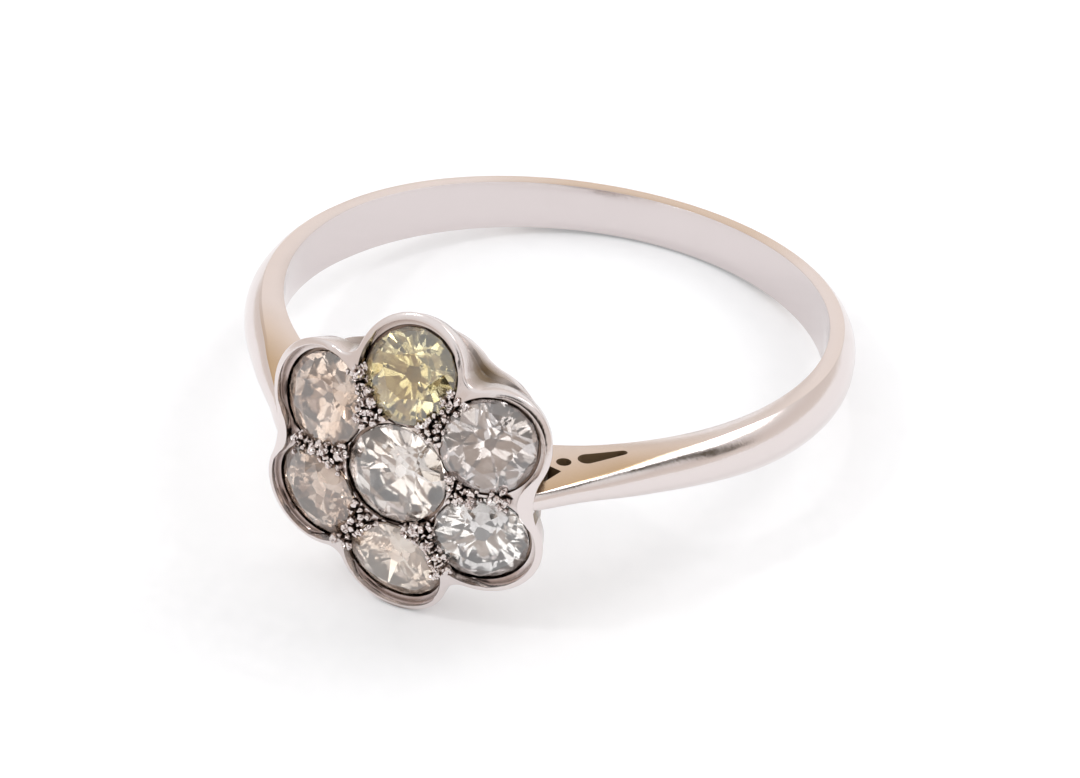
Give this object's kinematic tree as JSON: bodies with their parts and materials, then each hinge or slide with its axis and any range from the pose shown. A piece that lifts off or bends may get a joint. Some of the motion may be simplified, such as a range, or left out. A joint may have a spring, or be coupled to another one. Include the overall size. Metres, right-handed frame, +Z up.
{
  "type": "cluster ring",
  "caption": "Antique daisy cluster ring with old-cut stones round a raised centre stone, a scalloped rim, pierced shoulders and a plain tapering band.",
  "frame": {"origin": "on the table under the middle of the ring's bounding box, as it lies on its side", "axes": "+Z up from the table, -Y towards the side that the head faces, +X along the head's width between the shoulders"},
  "size_m": [0.0192, 0.0212, 0.0098],
  "materials": {
    "platinum": "worn polish",
    "diamond": "polished facets",
    "yellow_diamond": "polished facets"
  },
  "bodies": {
    "root": {"ring_mount": "platinum", "centre_stone": "diamond", "petal_stone_1": "diamond", "petal_stone_2": "yellow_diamond", "petal_stone_3": "diamond", "petal_stone_4": "diamond", "petal_stone_5": "diamond", "petal_stone_6": "diamond"}
  },
  "joints": []
}
